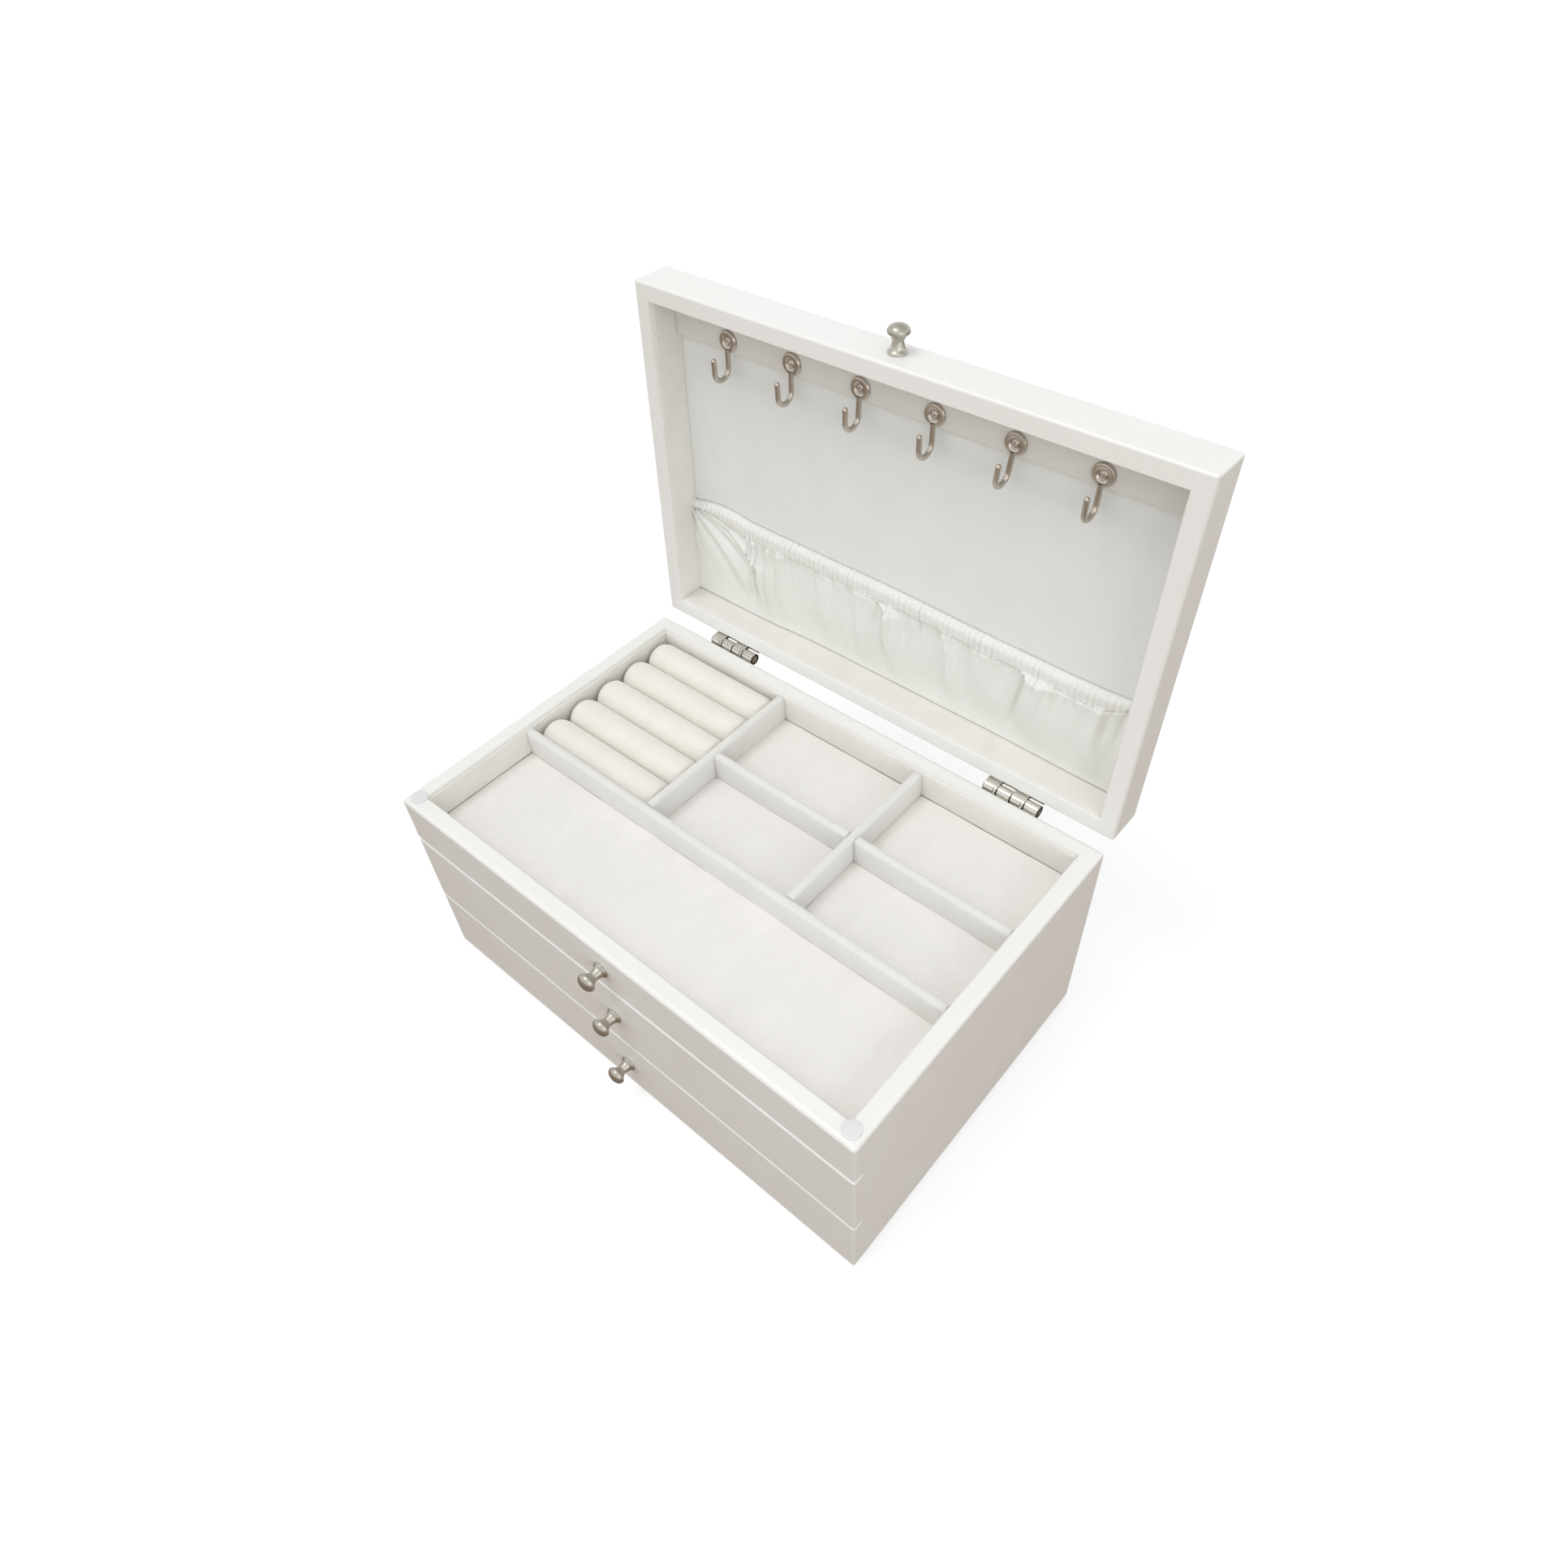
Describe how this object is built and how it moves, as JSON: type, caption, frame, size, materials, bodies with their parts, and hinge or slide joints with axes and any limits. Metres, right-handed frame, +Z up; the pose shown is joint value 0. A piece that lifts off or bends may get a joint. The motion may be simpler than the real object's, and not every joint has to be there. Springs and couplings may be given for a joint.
{
  "type": "jewellery chest",
  "caption": "White lacquered jewellery chest with an open hinged lid with hooks and a gathered pocket, a divided, lined top tray with ring rolls, and drawers with small nickel knobs.",
  "frame": {"origin": "centre of the case's footprint, on the surface the chest stands on", "axes": "+X to the right along the front, +Y to the back, +Z up; the drawers open towards -Y"},
  "size_m": [0.3, 0.2426, 0.3347],
  "materials": {
    "white_lacquer": "satin white lacquer over fibreboard",
    "bare_board": "sanded board, sealed",
    "base_felt": "pressed felt",
    "floor_suede": "brushed suede cloth",
    "wall_suede": "brushed suede cloth",
    "divider_suede": "brushed suede cloth over card",
    "cream_velvet": "short velvet pile over foam",
    "lid_cloth": "smooth lining cloth over card",
    "pocket_cloth": "thin gathered cloth with an elastic hem",
    "satin_nickel": "satin nickel plate",
    "clear_silicone": "clear, slightly cloudy"
  },
  "bodies": {
    "case": {"case_left_panel": "white_lacquer", "case_right_panel": "white_lacquer", "case_back_panel": "white_lacquer", "case_top_rail": "white_lacquer", "case_base": "bare_board", "base_felt": "base_felt", "drawer_shelf": "bare_board", "tray_board": "bare_board", "tray_floor_pad": "floor_suede", "tray_wall_lining": "wall_suede", "tray_long_divider": "divider_suede", "tray_ring_divider": "divider_suede", "tray_cross_divider": "divider_suede", "tray_mid_divider": "divider_suede", "ring_roll_1": "cream_velvet", "ring_roll_2": "cream_velvet", "ring_roll_3": "cream_velvet", "ring_roll_4": "cream_velvet", "ring_roll_5": "cream_velvet", "rim_bumpers": "clear_silicone", "top_knob": "satin_nickel", "top_knob_screw": "satin_nickel", "hinge_case_leaves": "satin_nickel", "hinge_pins": "satin_nickel", "hinge_case_screws": "satin_nickel"},
    "lid": {"lid_top_panel": "white_lacquer", "lid_front_rail": "white_lacquer", "lid_back_rail": "white_lacquer", "lid_left_rail": "white_lacquer", "lid_right_rail": "white_lacquer", "lid_ceiling_lining": "lid_cloth", "lid_wall_lining": "wall_suede", "hook_rail": "lid_cloth", "hook_1": "satin_nickel", "hook_2": "satin_nickel", "hook_3": "satin_nickel", "hook_4": "satin_nickel", "hook_5": "satin_nickel", "hook_6": "satin_nickel", "hook_screws": "satin_nickel", "lid_pocket": "pocket_cloth", "lid_knob": "satin_nickel", "lid_knob_screw": "satin_nickel", "hinge_lid_leaves": "satin_nickel", "hinge_lid_screws": "satin_nickel"},
    "upper_drawer": {"upper_drawer_front": "white_lacquer", "upper_drawer_sides": "bare_board", "upper_drawer_back": "bare_board", "upper_drawer_bottom": "bare_board", "upper_drawer_pad": "floor_suede", "upper_drawer_knob": "satin_nickel", "upper_drawer_screw": "satin_nickel"},
    "lower_drawer": {"lower_drawer_front": "white_lacquer", "lower_drawer_sides": "bare_board", "lower_drawer_back": "bare_board", "lower_drawer_bottom": "bare_board", "lower_drawer_pad": "floor_suede", "lower_drawer_knob": "satin_nickel", "lower_drawer_screw": "satin_nickel"}
  },
  "joints": [
    {"name": "lid_hinge", "type": "hinge", "parent": "case", "child": "lid", "pos_m": [0, 0.10087, 0.12508], "axis": [1, 0, 0], "range_deg": [0, 92]},
    {"name": "upper_drawer_slide", "type": "slide", "parent": "case", "child": "upper_drawer", "axis": [0, -1, 0], "range_m": [0, 0.12]},
    {"name": "lower_drawer_slide", "type": "slide", "parent": "case", "child": "lower_drawer", "axis": [0, -1, 0], "range_m": [0, 0.12]}
  ]
}
